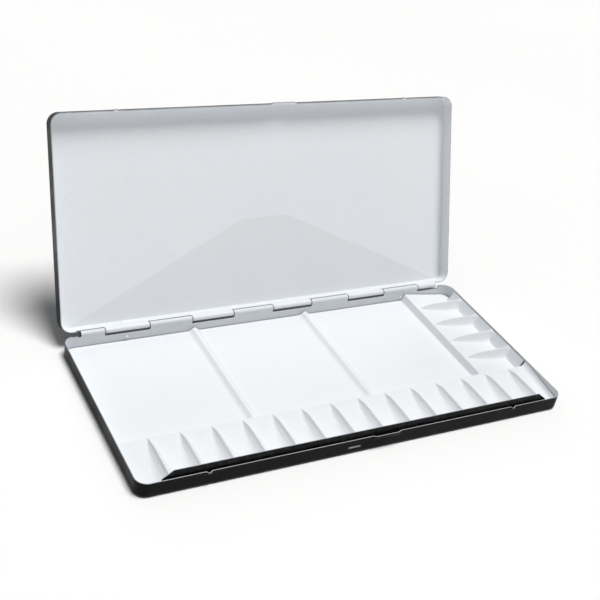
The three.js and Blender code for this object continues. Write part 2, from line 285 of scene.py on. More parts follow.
@dataclass(frozen=True)
class DrawnWire:
    """Bright drawn steel wire, with fine die lines along its length."""

    name: str = "drawn_steel"
    colour: tuple[float, float, float] = (0.50, 0.51, 0.52)
    dulled: tuple[float, float, float] = (0.20, 0.19, 0.18)
    line_scale: float = 5200.0

    def build(self) -> bpy.types.Material:
        """Makes the material.

        Returns:
            The new material.
        """
        bench = NodeBench(self.name)
        lines = bench.noise(self.line_scale, 2, (0.02, 1, 1))
        stain = bench.ranged(bench.noise(90, 4), 0.5, 0.72, 0, 0.8)
        bench.join(
            bench.blend(stain, self.colour, self.dulled), bench.shader.inputs["Base Color"]
        )
        bench.join(bench.ranged(lines, 0.3, 0.7, 0.24, 0.42), bench.shader.inputs["Roughness"])
        bench.shader.inputs["Metallic"].default_value = 1.0
        bench.relief((lines, 0.00001))
        return bench.material


@dataclass(frozen=True)
class PalePaint:
    """Matt pale paint of the studio floor."""

    name: str = "studio_floor"
    colour: tuple[float, float, float] = (0.98, 0.98, 0.98)

    def build(self) -> bpy.types.Material:
        """Makes the material.

        Returns:
            The new material.
        """
        bench = NodeBench(self.name)
        tone = bench.ranged(bench.noise(3, 2), 0.3, 0.7, 0, 1)
        paler = tuple(min(1.0, c * 1.01) for c in self.colour)
        bench.join(bench.blend(tone, self.colour, paler), bench.shader.inputs["Base Color"])
        bench.shader.inputs["Roughness"].default_value = 0.9
        bench.shader.inputs["Specular IOR Level"].default_value = 0.1
        return bench.material


class Finishes:
    """The materials of the box, each made once."""

    def __init__(self) -> None:
        """Makes every finish."""
        self.black = Enamel(
            name="black_satin_enamel",
            colour=(0.0024, 0.0026, 0.0030),
            clouded=(0.0034, 0.0036, 0.0042),
            speck=(0.0075, 0.0075, 0.0085),
            worn=(0.050, 0.051, 0.054),
            roughness=(0.27, 0.50),
            specular=0.075,
            scuff=0.10,
            speck_share=0.4,
            wear=0.5,
        ).build()
        self.white = Enamel(
            name="white_gloss_enamel",
            colour=(0.835, 0.857, 0.878),
            clouded=(0.820, 0.843, 0.867),
            speck=(0.795, 0.82, 0.85),
            worn=(0.62, 0.63, 0.65),
            roughness=(0.30, 0.44),
            specular=0.35,
        ).build()
        # Painted light: a brighter copy of the white enamel for the lid's inner face, raised so the
        # lid looks more brightly lit; its satin roughness and heavier orange peel are the finish's
        # own.
        self.lid_white_painted_light = Enamel(
            name="white_satin_enamel_painted_light",
            colour=(0.860, 0.885, 0.915),
            clouded=(0.842, 0.868, 0.900),
            speck=(0.775, 0.805, 0.845),
            worn=(0.60, 0.61, 0.64),
            roughness=(0.40, 0.52),
            specular=0.4,
            speck_share=0.75,
            peel_depth=0.00002,
        ).build()
        # Painted shade: a darker copy of the white enamel for the inner face of the lid's hinge
        # side, its tone set for how the lamp lights that strip; it also lies on the panel's sector
        # next to the hinge.
        self.strip_white_painted_shade = Enamel(
            name="white_hinge_enamel_painted_shade",
            colour=(0.800, 0.825, 0.852),
            clouded=(0.785, 0.811, 0.840),
            speck=(0.745, 0.770, 0.805),
            worn=(0.62, 0.63, 0.65),
            roughness=(0.30, 0.42),
            specular=0.4,
        ).build()
        # Painted shade: a darker copy of the white enamel for the base pan's inner faces, so that
        # the base's back wall, which the overhead lamp lights little, comes out grey.
        self.wall_white_painted_shade = Enamel(
            name="white_wall_enamel_painted_shade",
            colour=(0.735, 0.762, 0.800),
            clouded=(0.715, 0.745, 0.785),
            speck=(0.67, 0.70, 0.745),
            worn=(0.60, 0.61, 0.64),
            roughness=(0.40, 0.52),
            specular=0.35,
        ).build()
        self.edge = Enamel(
            name="enamelled_cut_edge",
            colour=(0.50, 0.52, 0.54),
            clouded=(0.42, 0.44, 0.46),
            speck=(0.40, 0.41, 0.43),
            worn=(0.30, 0.31, 0.33),
            roughness=(0.28, 0.40),
            specular=0.6,
            wear=0.9,
        ).build()
        self.wire = DrawnWire().build()
        self.floor = PalePaint().build()


# ---- Surfaces ------------------------------------------------------------------------------------


def grid_lines(marks: list[float], fills: np.ndarray, least: float) -> np.ndarray:
    """Chooses grid lines: every mark, and each fill that keeps its distance from those so far.

    Args:
        marks: lines that must be there.
        fills: lines that may be there.
        least: smallest spacing of a fill.

    Returns:
        The lines, in rising order.
    """
    kept = np.unique(np.round(np.array(marks, float), 6))
    for fill in np.sort(fills):
        if np.abs(kept - fill).min() >= least:
            kept = np.sort(np.append(kept, fill))
    return kept


def soft_max(a: np.ndarray, b: np.ndarray, fillet: float) -> np.ndarray:
    """The larger of two heights, eased where they cross: max + (fillet - gap)^2 / (4 fillet)."""
    near = np.maximum(fillet - np.abs(a - b), 0)
    return np.maximum(a, b) + near * near / (4 * fillet)


def smooth_step(value: np.ndarray, start: float, end: float) -> np.ndarray:
    """0 before start, 1 after end, and 3t^2 - 2t^3 between them."""
    t = np.clip((value - start) / (end - start), 0, 1)
    return t * t * (3 - 2 * t)


def grid_quads(rows: int, columns: int, wrap: bool, keep: np.ndarray) -> np.ndarray:
    """Quads of a grid of points: (i, j), (i, j+1), (i+1, j+1), (i+1, j) where keep is true.

    Args:
        rows: number of rows of points.
        columns: number of columns of points.
        wrap: whether the last column joins the first.
        keep: one truth value for each quad, (rows - 1) by the number of quads in a row.

    Returns:
        Point numbers, four for each quad.
    """
    i, j = np.meshgrid(
        np.arange(rows - 1), np.arange(columns if wrap else columns - 1), indexing="ij"
    )
    right = (j + 1) % columns
    quads = np.stack(
        [i * columns + j, i * columns + right, (i + 1) * columns + right, (i + 1) * columns + j],
        axis=-1,
    )
    return quads[keep]


@dataclass
class SheetMesh:
    """Points and faces of one pressing, gathered as arrays before they go into Blender."""

    points: np.ndarray = field(default_factory=lambda: np.zeros((0, 3)))
    rub: np.ndarray = field(default_factory=lambda: np.zeros(0))
    faces: list[list[int]] = field(default_factory=list)
    materials: list[int] = field(default_factory=list)

    def add(
        self,
        points: np.ndarray,
        faces: np.ndarray | list[np.ndarray],
        rub: np.ndarray | float = 0.0,
    ) -> None:
        """Adds a patch, all of it in the outer face's material place.

        Args:
            points: its points, n by 3, in millimetres.
            faces: point numbers of its faces, counted within the patch.
            rub: wear of each point, 0 to 1, or one value for all.
        """
        first = len(self.points)
        self.points = np.concatenate([self.points, points])
        self.rub = np.concatenate([self.rub, np.broadcast_to(rub, len(points))])
        self.faces += [(face + first).tolist() for face in faces]
        self.materials += [Face.OUTER.value] * len(faces)

    def build(self, name: str, materials: list[bpy.types.Material]) -> bpy.types.Object:
        """Puts the patches into one mesh object at the origin, without unused points.

        Args:
            name: name of the piece.
            materials: its materials, in the order of their places.

        Returns:
            The new object, smooth shaded.
        """
        used = np.unique(np.concatenate([np.array(f) for f in self.faces]))
        number = np.full(len(self.points), -1)
        number[used] = np.arange(len(used))
        faces = [number[f].tolist() for f in self.faces]
        mesh = bpy.data.meshes.new(name)
        mesh.from_pydata((self.points[used] * MM).tolist(), [], faces)
        for material in materials:
            mesh.materials.append(material)
        mesh.polygons.foreach_set("material_index", self.materials)
        mesh.polygons.foreach_set("use_smooth", [True] * len(faces))
        rub = mesh.attributes.new("rub", "FLOAT", "POINT")
        rub.data.foreach_set("value", self.rub[used].astype(np.float32))
        mesh.validate()
        mesh.update()
        piece = bpy.data.objects.new(name, mesh)
        bpy.context.scene.collection.objects.link(piece)
        return piece


def thicken(piece: bpy.types.Object, sheet: float, edge_round: float) -> None:
    """Gives a surface its sheet thickness behind its outer face, and rounds its cut edges.

    Args:
        piece: the surface, with its normals on the outer face.
        sheet: thickness in millimetres.
        edge_round: width of the rounding on the cut edges, in millimetres.
    """
    solid = piece.modifiers.new("sheet", "SOLIDIFY")
    solid.thickness = sheet * MM
    solid.offset = -1.0
    solid.use_even_offset = True
    solid.use_quality_normals = True
    solid.material_offset = Face.INNER.value
    solid.material_offset_rim = Face.EDGE.value
    bevel = piece.modifiers.new("edges", "BEVEL")
    bevel.width = edge_round * MM
    bevel.segments = 2
    bevel.limit_method = "ANGLE"
    bevel.angle_limit = math.radians(50)
    bevel.use_clamp_overlap = False
    bevel.harden_normals = True


# ---- Pressed pans --------------------------------------------------------------------------------


@dataclass
class PressedPan:
    """A shallow pressed pan with rounded corners and a rolled hinge edge.

    In pan coordinates its underside is at z = 0 and its hinge wall towards +Y. The surface is the
    sheet's outer face: a profile that runs out along the panel, round the bend, up the wall and,
    at the pan's own knuckles, on round the hinge wire.
    """

    name: str
    depth: float
    latch_x: float
    slotted: bool
    length: float = 245.0
    width: float = 113.3
    corner: float = 6.0
    bend: float = 1.2
    sheet: float = 0.5
    rim_gap: float = 0.3
    knuckle_pitch: float = 24.8
    knuckle_gap: float = 0.4
    hinge_half: float = 112.6
    curl_radius: float = 1.0
    curl_sweep: float = 280.0
    notch_depth: float = 2.1
    end_relief: float = 1.6
    relief_depth: float = 0.7
    latch_half: tuple[float, float] = (6.2, 8.6)
    latch_reach: float = 0.8
    latch_depth: float = 2.6
    snap_x: float = 88.0
    snap_half: tuple[float, float] = (0.1, 1.9)
    snap_reach: float = 0.75
    snap_depth: float = 2.2
    snap_dip: float = 0.75
    snap_notch: float = 1.5
    snap_fade: float = 2.4
    pip_x: float = 87.5
    pip_drop: float = 5.0
    pip_radius: float = 1.25
    pip_reach: float = 0.8
    slot_middle: tuple[float, float] = (-9.8, 3.9)
    slot_half: tuple[float, float] = (3.7, 0.525)
    slot_draw: float = 0.34
    panel_rings: tuple[float, ...] = (0.12, 0.4, 0.7, 0.9, 0.97)
    edge_round: float = 0.11

    @property
    def axis_height(self) -> float:
        """Height of the hinge axis over the pan's underside."""
        return self.depth + self.rim_gap / 2

    @property
    def axis_y(self) -> float:
        """Place of the hinge axis behind the middle of the pan."""
        return self.width / 2 + self.curl_radius

    def knuckle_spans(self, first: int) -> np.ndarray:
        """Spans of every second knuckle place along the hinge.

        Args:
            first: 0 for this pan's own knuckles, 1 for the other pan's.

        Returns:
            Start and end of each span along X.
        """
        reach = int(self.hinge_half // self.knuckle_pitch)
        edges = np.arange(-reach, reach + 1) * self.knuckle_pitch
        edges = np.concatenate([[-self.hinge_half], edges, [self.hinge_half]])
        return np.stack([edges[:-1], edges[1:]], axis=1)[first::2]

    def wall_lines(self) -> np.ndarray:
        """Heights of the grid lines on the wall, from the bend up to the hinge axis."""
        rim = self.depth
        pip = rim - self.pip_drop
        slot = self.slot_middle[1]
        marks = [self.bend, self.axis_height - self.notch_depth, rim - self.relief_depth, rim]
        marks += [self.axis_height]
        if self.slotted:
            marks += [slot - self.slot_half[1], slot, slot + self.slot_half[1]]
        fills = np.concatenate(
            [
                pip + np.arange(-4, 5) * 0.33,
                rim - np.arange(1, 8) * 0.4,
                [rim - 0.22, rim - 3.6, self.bend + 0.35],
            ]
        )
        return grid_lines(marks, fills[fills > self.bend], 0.17)

    def front_lines(self) -> np.ndarray:
        """Places of the grid lines along the front wall, in rising X."""
        straight = self.length / 2 - self.corner
        marks = [-straight, straight]
        if self.slotted:
            middle, half = self.slot_middle[0], self.slot_half[0]
            marks += [middle - half, middle - half + 0.45, middle + half - 0.45, middle + half]
        near_latch = np.linspace(-1, 1, 41) * (self.latch_half[1] + 0.6) + self.latch_x
        near_snaps = [side * self.snap_x + np.arange(-9, 10) * 0.36 for side in (-1, 1)]
        fills = np.concatenate([near_latch, *near_snaps])
        lines = grid_lines(marks, fills, 0.2)
        return grid_lines(list(lines), np.linspace(-straight, straight, 60), 1.4)

    def hinge_lines(self) -> np.ndarray:
        """Places of the grid lines along the hinge wall, in falling X."""
        straight = self.length / 2 - self.corner
        half = self.knuckle_gap / 2
        own = self.knuckle_spans(0)
        marks = [-straight, straight, -self.hinge_half - self.end_relief]
        marks += [self.hinge_half + self.end_relief]
        marks += list(own[:, 0] + half) + list(own[:, 1] - half)
        fills = [np.linspace(a, b, 9)[1:-1] for a, b in self.knuckle_spans(0)]
        fills += [np.linspace(a, b, 7)[1:-1] for a, b in self.knuckle_spans(1)]
        fills += [side * self.pip_x + np.arange(-5, 6) * 0.3 for side in (-1, 1)]
        return grid_lines(marks, np.concatenate(fills), 0.25)[::-1]

    def outline(self) -> tuple[np.ndarray, np.ndarray]:
        """The pan's outline, anticlockwise from the front wall's left end.

        Returns:
            Points on the outline, and its outward normals.
        """
        straight_x = self.length / 2 - self.corner
        straight_y = self.width / 2 - self.corner
        turn = np.linspace(0, math.pi / 2, 13)[1:-1]
        points, normals = [], []

        def run(x: np.ndarray, y: np.ndarray, normal: tuple[float, float]) -> None:
            """Adds a straight wall."""
            points.append(np.stack(np.broadcast_arrays(x, y), axis=1).astype(float))
            normals.append(np.broadcast_to(normal, (len(points[-1]), 2)).astype(float))

        def arc(x: float, y: float, start: float) -> None:
            """Adds a corner about its centre."""
            normal = np.stack([np.cos(start + turn), np.sin(start + turn)], axis=1)
            points.append(np.array([x, y]) + self.corner * normal)
            normals.append(normal)

        side = np.linspace(-straight_y, straight_y, 22)
        run(self.front_lines(), np.array(-self.width / 2), (0, -1))
        arc(straight_x, -straight_y, -math.pi / 2)
        run(np.array(self.length / 2), side, (1, 0))
        arc(straight_x, straight_y, 0)
        run(self.hinge_lines(), np.array(self.width / 2), (0, 1))
        arc(-straight_x, straight_y, math.pi / 2)
        run(np.array(-self.length / 2), side[::-1], (-1, 0))
        arc(-straight_x, -straight_y, math.pi)
        return np.concatenate(points), np.concatenate(normals)

    def pressed(self, x: np.ndarray, z: np.ndarray) -> tuple[np.ndarray, ...]:
        """How far the bulges stand out of the front wall, and the pips sink into the hinge wall.

        A bulge is its reach times a plateau across x, smooth from its root to its top, times a
        ramp that grows from nothing at its depth below the rim. A pip is its reach times the
        height of a cap, (1 - r^2)^1.5 within its radius. The rim dips at a snap by a V.

        Args:
            x: places along the wall.
            z: heights.

        Returns:
            Outward move of the front wall, inward move of the hinge wall, and dip of the front rim.
        """
        out = np.zeros(np.broadcast(x, z).shape)
        bulges = [(self.latch_x, self.latch_half, self.latch_reach, self.latch_depth)]
        bulges += [
            (side * self.snap_x, self.snap_half, self.snap_reach, self.snap_depth)
            for side in (-1, 1)
        ]
        for middle, (top, root), reach, depth in bulges:
            across = 1 - smooth_step(np.abs(x - middle), top, root)
            up = smooth_step(z, self.depth - depth, self.depth - depth * 0.25)
            out = np.maximum(out, reach * across * up)
        sunk, dip = np.zeros_like(out), np.zeros_like(out)
        near_rim = smooth_step(z, self.depth - self.snap_fade, self.depth)
        for side in (-1, 1):
            notch = np.clip(1 - np.abs(x - side * self.snap_x) / self.snap_notch, 0, 1)
            dip = np.maximum(dip, self.snap_dip * notch * near_rim)
            r2 = (x - side * self.pip_x) ** 2 + (z - self.depth + self.pip_drop) ** 2
            cap = np.clip(1 - r2 / self.pip_radius**2, 0, 1) ** 1.5
            sunk = np.maximum(sunk, self.pip_reach * cap)
        return out, sunk, dip

    def kept_quads(
        self, points: np.ndarray, normals: np.ndarray, heights: np.ndarray
    ) -> np.ndarray:
        """Which quads of the grid are steel, and which are notch, slot or air.

        Args:
            points: the outline.
            normals: its outward normals.
            heights: height of each row; rows round the knuckle carry heights above the axis.

        Returns:
            One truth value for each quad, rows by columns.
        """
        following = np.roll(points, -1, axis=0)
        middle = (points + following) / 2
        on_hinge = (normals[:, 1] > 0.999) & (np.roll(normals, -1, axis=0)[:, 1] > 0.999)
        on_front = (normals[:, 1] < -0.999) & (np.roll(normals, -1, axis=0)[:, 1] < -0.999)
        top = np.full(len(points), self.depth)
        half = self.knuckle_gap / 2
        for start, end in self.knuckle_spans(0):
            own = on_hinge & (middle[:, 0] > start + half) & (middle[:, 0] < end - half)
            top[own] = np.inf
        for start, end in self.knuckle_spans(1):
            last = self.end_relief if end > self.hinge_half - 1 else half
            other = on_hinge & (middle[:, 0] > start - half) & (middle[:, 0] < end + last)
            top[other] = self.axis_height - self.notch_depth
        beyond = -self.hinge_half + half
        relief = on_hinge & (middle[:, 0] < beyond)
        relief &= middle[:, 0] > beyond - self.end_relief - half
        top[relief] = self.depth - self.relief_depth
        row_top = heights[1:, None]
        keep = row_top <= top[None, :] + 1e-6
        if self.slotted:
            (sx, sz), (hx, hz) = self.slot_middle, self.slot_half
            in_slot = on_front & (np.abs(middle[:, 0] - sx) < hx)
            in_rows = (heights[1:] <= sz + hz + 1e-6) & (heights[:-1] >= sz - hz - 1e-6)
            keep &= ~(in_rows[:, None] & in_slot[None, :])
        return keep

    def surface(self) -> SheetMesh:
        """Works out the outer face of the pan.

        Rows on the panel are the outline inset by the bend radius and scaled about the middle.
        Rows on the bend are inset by b (1 - sin a) at height b (1 - cos a). Rows on the wall
        follow the outline. Rows round the knuckle are on a circle about the hinge axis. Every
        quad on the hinge side, the panel's among them, takes the hinge side's material places.

        Returns:
            The surface in pan coordinates.
        """
        points, normals = self.outline()
        turn = np.linspace(0, math.pi / 2, 8)
        inset = self.bend * (1 - np.sin(turn))
        lift = self.bend * (1 - np.cos(turn))
        wall = self.wall_lines()[1:]
        inset = np.concatenate([inset, np.zeros(len(wall))])
        heights = np.concatenate([lift, wall])
        plan = points[None] - normals[None] * inset[:, None, None]
        level = np.broadcast_to(heights[:, None], plan.shape[:2]).copy()
        bulge, sunk, dip = self.pressed(plan[..., 0], level)
        plan[..., 1] -= bulge * (normals[None, :, 1] < -0.999)
        level -= dip * (normals[None, :, 1] < -0.999)
        plan[..., 1] -= sunk * (normals[None, :, 1] > 0.999)
        if self.slotted:
            self.round_slot(plan, level, normals)
        shrink = np.array(self.panel_rings)[:, None, None]
        panel = (points - normals * self.bend)[None] * shrink
        sweep = np.radians(np.linspace(180, 180 - self.curl_sweep, 25))[1:]
        curl = np.broadcast_to(points, (len(sweep), *points.shape)).copy()
        curl[..., 1] = self.axis_y + self.curl_radius * np.cos(sweep)[:, None]
        curl_level = self.axis_height + self.curl_radius * np.sin(sweep)
        xy = np.concatenate([panel, plan, curl])
        z = np.concatenate(
            [
                np.zeros(panel.shape[:2]),
                level,
                np.broadcast_to(curl_level[:, None], curl.shape[:2]),
            ]
        )
        row_height = np.concatenate(
            [np.zeros(len(panel)), heights, self.axis_height + np.arange(1, len(sweep) + 1)]
        )
        keep = self.kept_quads(points, normals, row_height)
        quads = grid_quads(*z.shape, True, keep)
        grid = np.concatenate([xy, z[..., None]], axis=-1).reshape(-1, 3)
        hub = np.array([[0.0, 0.0, 0.0]])
        mesh = SheetMesh()
        mesh.add(np.concatenate([grid, hub]), quads, np.append(self.rub(grid), 0.0))
        hinged = normals[quads[:, 0] % len(points), 1] > 0.999
        mesh.materials = np.where(hinged, Face.HINGE_OUTER.value, Face.OUTER.value).tolist()
        around = np.arange(len(points))
        fan = np.stack([np.full_like(around, len(grid)), np.roll(around, -1), around], axis=1)
        mesh.faces += fan.tolist()
        mesh.materials += [Face.OUTER.value] * len(fan)
        return mesh

    def round_slot(self, plan: np.ndarray, level: np.ndarray, normals: np.ndarray) -> None:
        """Rounds the ends of the slot by drawing its four corners towards its middle.

        Args:
            plan: x and y of the wall's points, changed in place.
            level: their heights.
            normals: outward normals of the outline.
        """
        (sx, sz), (hx, hz) = self.slot_middle, self.slot_half
        on_front = (normals[:, 1] < -0.999)[None]
        corner = on_front & (np.abs(np.abs(plan[..., 0] - sx) - hx) < 1e-3)
        corner &= np.abs(np.abs(level - sz) - hz) < 1e-3
        plan[..., 0] -= np.where(corner, np.sign(plan[..., 0] - sx) * self.slot_draw, 0)

    def rub(self, grid: np.ndarray) -> np.ndarray:
        """Wear of the enamel: 0.55 on the bend and the rim, rising to 1 at the plan's corners.

        It falls off exponentially with the distance from them.

        Args:
            grid: points, n by 3.

        Returns:
            Wear from 0 to 1.
        """
        x, y, z = np.abs(grid[:, 0]), np.abs(grid[:, 1]), grid[:, 2]
        out = np.minimum(self.length / 2 - x, self.width / 2 - y)
        bend = np.exp(-(((z - self.bend * 0.3) / 0.8) ** 2)) * np.exp(-np.clip(out, 0, None) / 1.2)
        rim = np.exp(-np.abs(z - self.depth) / 0.5) * np.exp(-np.clip(out, 0, None) / 1.0)
        corner = smooth_step(x / self.length + y / self.width, 0.90, 0.97)
        return np.clip(np.maximum(bend, rim) * (0.55 + 0.45 * corner), 0, 1)

    def build(self, materials: list[bpy.types.Material]) -> bpy.types.Object:
        """Makes the pan as a piece in pan coordinates.

        Args:
            materials: outer face, inner face and cut edge, then the same on the hinge side.

        Returns:
            The new piece.
        """
        piece = self.surface().build(self.name, materials)
        thicken(piece, self.sheet, self.edge_round)
        return piece


@dataclass
class BasePan:
    """The lower pan, which rests on the table."""

    pan: PressedPan = field(
        default_factory=lambda: PressedPan("base_pan", depth=8.3, latch_x=8.5, slotted=True)
    )

    def build(self, finishes: Finishes) -> bpy.types.Object:
        """Makes the base pan and puts it in place of its CAD node.

        Args:
            finishes: the box's materials.

        Returns:
            The new piece.
        """
        # The base pan's inner faces take the darker white of painted shade.
        black, wall = finishes.black, finishes.wall_white_painted_shade
        piece = self.pan.build([black, wall, finishes.edge, black, wall, black])
        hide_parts("base_shell")
        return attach(piece, Body.BASE.value)


@dataclass
class LidPan:
    """The upper pan, standing open on the hinge."""

    open_angle: float
    pan: PressedPan = field(
        default_factory=lambda: PressedPan(
            "lid_pan", depth=8.0, latch_x=-8.5, slotted=False, bend=1.24
        )
    )

    def stand(self) -> Matrix:
        """The move from pan coordinates to where the open lid stands.

        The pan is brought to the hinge axis, turned half round Z so that its hinge wall faces the
        base, and swung up by what the open angle lacks of a half turn.

        Returns:
            The move, in metres.
        """
        low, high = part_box("hinge_wire")
        axis = (low + high) / 2
        to_axis = Vector((0, -self.pan.axis_y, -self.pan.axis_height)) * MM
        return (
            Matrix.Translation((0, axis.y, axis.z))
            @ Matrix.Rotation(math.radians(180 - self.open_angle), 4, "X")
            @ Matrix.Rotation(math.pi, 4, "Z")
            @ Matrix.Translation(to_axis)
        )

    def build(self, finishes: Finishes) -> bpy.types.Object:
        """Makes the lid pan and puts it in place of its CAD node.

        Args:
            finishes: the box's materials.

        Returns:
            The new piece.
        """
        # The lid's inner face takes the brighter white of painted light.
        black, white = finishes.black, finishes.lid_white_painted_light
        # The lid's hinge side takes the darker white of painted shade on its inner face.
        strip_shade = finishes.strip_white_painted_shade
        piece = self.pan.build([black, white, finishes.edge, black, strip_shade, finishes.edge])
        piece.data.transform(self.stand())
        piece.data.update()
        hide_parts("lid_shell")
        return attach(piece, Body.LID.value)


# ---- Well tray -----------------------------------------------------------------------------------


@dataclass
class WellTray:
    """The pressed tray: mixing areas, two rows of paint wells, front tongue and right flange.

    The surface is the sheet's upper face. Its height over the plan is the softened maximum of the
    floor, the two sloping well floors behind their crests, the mixing ridges and the dividers.
    """

    half_x: float = 121.5
    back: float = 55.65
    front: float = -55.0
    front_reach: float = 0.6
    corner: float = 5.2
    lip: float = 0.45
    front_lip: float = 3.4
    lip_ease: float = 0.97
    sheet: float = 0.4
    floor: float = 1.2
    crest: float = 5.3
    crest_x: float = 90.0
    crest_y: float = -24.15
    crest_step: float = 1.9
    crest_fillet: float = 0.5
    foot_x: float = 118.6
    flange_top: float = 7.7
    flange_lean: float = 2.9
    flange_span: tuple[float, float] = (-22.55, 49.15)
    first_divider: float = -105.6
    first_column_divider: float = 40.75
    pitch: float = 16.54
    divider_top: float = 7.4
    divider_rise: float = 9.5
    divider_tip: float = 0.35
    divider_drop: float = 4.0
    divider_half: float = 0.42
    flank: tuple[tuple[float, ...], ...] = (
        (0.0, 0.15, 1.3, 1.6, 1.8, 2.1, 3.0, 4.2, 9.0),
        (0.0, 0.75, 2.5, 2.6, 3.1, 3.2, 3.9, 4.6, 6.2),
    )
    column_flank: tuple[tuple[float, ...], ...] = (
        (0.0, 0.2, 1.75, 2.4, 5.0, 9.0),
        (0.0, 0.8, 4.2, 5.0, 6.4, 8.0),
    )
    flank_fillet: float = 0.6
    edge_round: float = 0.05
    cut_round: float = 0.09
    line_gap: float = 0.12
    fillet: float = 1.0
    well_fillet: float = 0.3
    ridges: tuple[float, ...] = (20.85, -48.3)
    ridge_height: float = 2.0
    ridge_half: tuple[float, float] = (0.8, 2.9)
    tongue_half: float = 111.0
    tongue_straight: float = 95.0
    tongue_top: float = 12.3
    tongue_chamfer: float = 5.7
    tongue_shoulder: float = 8.0
    tongue_bend: float = 0.6
    tab_x: float = -9.8
    tab_z: float = 3.9
    tab_size: tuple[float, float] = (3.35, 0.23)
    tab_rows: tuple[float, ...] = (-55.3, -55.9, -56.5, -56.6, -56.63)

    @property
    def absent(self) -> float:
        """A height under everything, which never wins the maximum."""
        return self.floor - 3

    @property
    def dividers(self) -> np.ndarray:
        """X of each divider of the front row."""
        return self.first_divider + self.pitch * np.arange(14)

    @property
    def column_dividers(self) -> np.ndarray:
        """Y of each divider of the right column."""
        return self.first_column_divider - self.pitch * np.arange(4)

    def divider(
        self, run: np.ndarray, aside: np.ndarray, flank: tuple[tuple[float, ...], ...]
    ) -> np.ndarray:
        """Height of a divider: its top line less the fall of its flanks.

        The top line rises from just under the crest by a quarter sine over the rise, and falls
        steeply before the crest. The fall of a flank is read off straight lines between its
        points, from the rounded edge of the top.

        Args:
            run: distance from the crest, towards the divider's far end.
            aside: distance from the divider's middle.
            flank: distances beside the top, and the fall at each.

        Returns:
            Height over the tray's datum.
        """
        share = np.clip(run / self.divider_rise, 0, 1)
        start = self.crest - self.divider_tip
        top = start + (self.divider_top - start) * np.sin(share * np.pi / 2)
        top = top + np.minimum(run, 0) * self.divider_drop
        past_top = np.maximum(np.abs(aside) - self.divider_half, 0)
        beside = np.sqrt(past_top**2 + self.edge_round**2) - self.edge_round
        return top - np.interp(beside, *flank)

    def edge_rise(self, x: np.ndarray, y: np.ndarray) -> np.ndarray:
        """Rise of the upturned lip along the left, back and right edges and the front's ends.

        At a distance d from the edge it is r - sqrt(r^2 - k (r - d)^2), with k the lip's ease, so
        nearly a quarter round. In front of the flange r grows from lip to front_lip towards the
        right edge.

        Args:
            x: places along the length.
            y: places across the width.

        Returns:
            Rise over the floor beside it.
        """
        front = np.where(np.abs(x) > self.tongue_half + 1e-6, -self.front + self.front_reach, 1e3)
        end_y = np.where(y > 0, self.back, front)
        dx = np.abs(x) - (self.half_x - self.corner)
        dy = np.abs(y) - (end_y - self.corner)
        cornered = (dx > 0) & (dy > 0)
        inward = self.corner - np.where(cornered, np.hypot(dx, dy), np.maximum(dx, dy))
        swept = smooth_step(x, self.foot_x - 8, self.foot_x - 3) * (y < self.flange_span[0] - 0.1)
        lip = self.lip + (self.front_lip - self.lip) * swept
        over = np.clip(lip - inward, 0, lip)
        return lip - np.sqrt(lip**2 - over**2 * self.lip_ease)

    def height(self, x: np.ndarray, y: np.ndarray) -> np.ndarray:
        """Height of the tray's upper face.

        Args:
            x: places along the length.
            y: places across the width.

        Returns:
            Heights, in the shape of x and y together.
        """
        rise = self.crest - self.floor
        front_fall = self.floor + rise * (y - self.front) / (self.crest_y - self.front)
        front_step = self.crest - rise * (y - self.crest_y) / self.crest_step
        front = -soft_max(-front_fall, -front_step, self.crest_fillet)
        column_fall = self.floor + rise * (self.foot_x - x) / (self.foot_x - self.crest_x)
        column_step = self.crest - rise * (self.crest_x - x) / self.crest_step
        column = -soft_max(-column_fall, -column_step, self.crest_fillet)
        column = np.where(y < self.crest_y - 1.0, self.absent, column)
        wells = soft_max(front, column, self.well_fillet)
        z = soft_max(wells, np.full_like(wells, self.floor), self.fillet)
        top, foot = self.ridge_half
        for ridge_x in self.ridges:
            across = np.clip((foot - np.abs(x - ridge_x)) / (foot - top), -2, 1.25)
            ridge = self.floor + self.ridge_height * np.minimum(across, 1 + (across - 1) * 0.15)
            ridge = np.where(y < self.crest_y, self.absent, ridge)
            z = soft_max(z, ridge, self.fillet)
        for divider_x in self.dividers:
            side = self.divider(self.crest_y - y, x - divider_x, self.flank)
            z = soft_max(z, side, self.flank_fillet)
        for divider_y in self.column_dividers:
            run = x - self.crest_x
            side = self.divider(run, y - divider_y, self.column_flank)
            side = np.where((run < -3) | (y < self.crest_y), self.absent, side)
            z = soft_max(z, side, self.flank_fillet)
        return z + self.edge_rise(x, y)

    def across_lines(self) -> np.ndarray:
        """Grid lines along X, closer at dividers, ridges and the column's crest and flange."""
        beside = np.array([0.34, 0.5, 0.64, 1.2, 1.72, 2.02, 2.22, 2.52, 3.3, 4.6])
        offsets = np.concatenate([-beside[::-1], [0], beside])
        marks = [-self.half_x, self.foot_x, -self.tongue_half, self.tongue_half]
        marks += [self.crest_x, self.crest_x - self.crest_step]
        fills = [centre + offsets for centre in self.dividers]
        slope = np.array([0.3, 0.8, 1.3, 2.2, 2.9, 3.4])
        fills += [ridge + np.concatenate([-slope[::-1], slope]) for ridge in self.ridges]
        fills += [self.crest_x + np.array([-3, -2.4, -1.5, -1, -0.5, 0.4, 0.9, 1.8])]
        fills += [self.foot_x - np.array([0.5, 1.1, 2.0, 3.2])]
        fills += [-self.half_x + np.array([0.12, 0.3, 0.55, 0.85, 1.25, 2.0, 3.4, 5.2, 7.0])]
        lines = grid_lines(marks, np.concatenate(fills), self.line_gap)
        lines = grid_lines(list(lines), np.linspace(-self.half_x, self.foot_x, 70), 2.2)
        return lines[lines <= self.foot_x + 1e-6]

